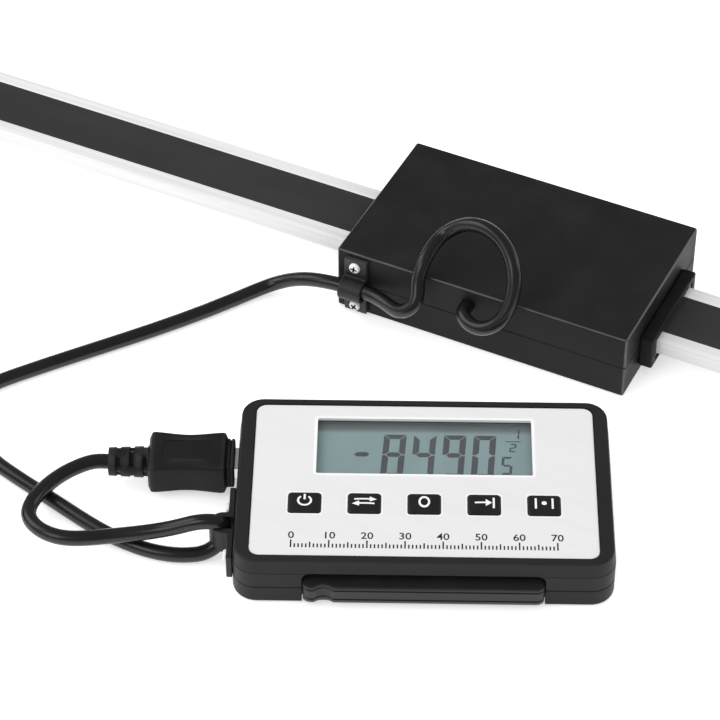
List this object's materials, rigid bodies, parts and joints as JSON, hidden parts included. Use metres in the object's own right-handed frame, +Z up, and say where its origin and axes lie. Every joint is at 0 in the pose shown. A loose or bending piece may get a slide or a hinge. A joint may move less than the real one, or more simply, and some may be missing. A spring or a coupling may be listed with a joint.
{
  "type": "linear scale with remote display",
  "caption": "Linear measuring scale: a beam with a black scale strip slides through a reading head, whose looped cable leads to a small keypad display with a hinged front flap.",
  "frame": {"origin": "centre of the reading head's base face", "axes": "+X along the beam, +Y away from the display, +Z up out of the base"},
  "size_m": [0.45, 0.1958, 0.0385],
  "materials": {
    "black_housing": "satin",
    "wiper_plastic": "matt",
    "lip_rubber": "matt",
    "guide_plastic": "satin",
    "circuit_board": "satin",
    "chip_plastic": "matt",
    "brass_insert": "machined",
    "screw_nickel": "bright nickel",
    "grommet_rubber": "matt",
    "saddle_plastic": "satin",
    "beam_aluminium": "satin anodised",
    "scale_face": "matt",
    "display_housing": "fine texture",
    "plate_silver": "satin",
    "lens_clear": "clear",
    "lcd_face": "smooth",
    "elastomer": "matt",
    "key_rubber": "satin",
    "cell_steel": "bright",
    "socket_plastic": "satin",
    "plug_metal": "bright",
    "plug_black": "satin",
    "cable_black": "satin",
    "tie_fabric": "woven"
  },
  "bodies": {
    "scale_set": {"head_lower": "black_housing", "head_upper": "black_housing", "wiper_left": "wiper_plastic", "wiper_right": "wiper_plastic", "lip_left": "lip_rubber", "lip_right": "lip_rubber", "rail_front": "guide_plastic", "rail_rear": "guide_plastic", "reader_board": "circuit_board", "display_board": "circuit_board", "reader_chip": "chip_plastic", "key_switches": "chip_plastic", "cell_holder": "chip_plastic", "head_inserts": "brass_insert", "head_screws": "screw_nickel", "head_saddle_screws": "screw_nickel", "case_screws": "screw_nickel", "disp_saddle_screws": "screw_nickel", "flap_pins": "screw_nickel", "cable_grommet": "grommet_rubber", "head_saddle": "saddle_plastic", "disp_saddle": "saddle_plastic", "case_back": "display_housing", "case_front": "display_housing", "face_plate": "plate_silver", "window_lens": "lens_clear", "lcd_panel": "lcd_face", "zebra_strips": "elastomer", "coin_cell": "cell_steel", "back_magnets": "cell_steel", "data_socket": "socket_plastic", "plug_shell": "plug_metal", "plug_grip": "plug_black", "strain_relief": "plug_black", "cord_head_side": "cable_black", "cord_coil": "cable_black", "cord_display_side": "cable_black", "coil_tie": "tie_fabric"},
    "beam_body": {"beam": "beam_aluminium", "scale_strip": "scale_face"},
    "cover_body": {"cell_cover": "display_housing"},
    "flap_body": {"front_flap": "display_housing"},
    "key_1_body": {"key_1": "key_rubber"},
    "key_2_body": {"key_2": "key_rubber"},
    "key_3_body": {"key_3": "key_rubber"},
    "key_4_body": {"key_4": "key_rubber"},
    "key_5_body": {"key_5": "key_rubber"}
  },
  "joints": [
    {"name": "beam_slide", "type": "slide", "parent": "scale_set", "child": "beam_body", "axis": [1, 0, 0], "range_m": [-0.135, 0.165]},
    {"name": "cover_slide", "type": "slide", "parent": "scale_set", "child": "cover_body", "axis": [-0.4226, 0.9063, 0], "range_m": [0, 0.024]},
    {"name": "flap_hinge", "type": "hinge", "parent": "scale_set", "child": "flap_body", "pos_m": [0.02734, -0.1221, 0.0036], "axis": [0.9063, 0.4226, 0], "range_deg": [0, 90]},
    {"name": "key_1_press", "type": "slide", "parent": "scale_set", "child": "key_1_body", "axis": [0, 0, -1], "range_m": [0, 0.0006], "stiffness_N_per_m": 300, "springref_m": -0.001},
    {"name": "key_2_press", "type": "slide", "parent": "scale_set", "child": "key_2_body", "axis": [0, 0, -1], "range_m": [0, 0.0006], "stiffness_N_per_m": 300, "springref_m": -0.001},
    {"name": "key_3_press", "type": "slide", "parent": "scale_set", "child": "key_3_body", "axis": [0, 0, -1], "range_m": [0, 0.0006], "stiffness_N_per_m": 300, "springref_m": -0.001},
    {"name": "key_4_press", "type": "slide", "parent": "scale_set", "child": "key_4_body", "axis": [0, 0, -1], "range_m": [0, 0.0006], "stiffness_N_per_m": 300, "springref_m": -0.001},
    {"name": "key_5_press", "type": "slide", "parent": "scale_set", "child": "key_5_body", "axis": [0, 0, -1], "range_m": [0, 0.0006], "stiffness_N_per_m": 300, "springref_m": -0.001}
  ]
}
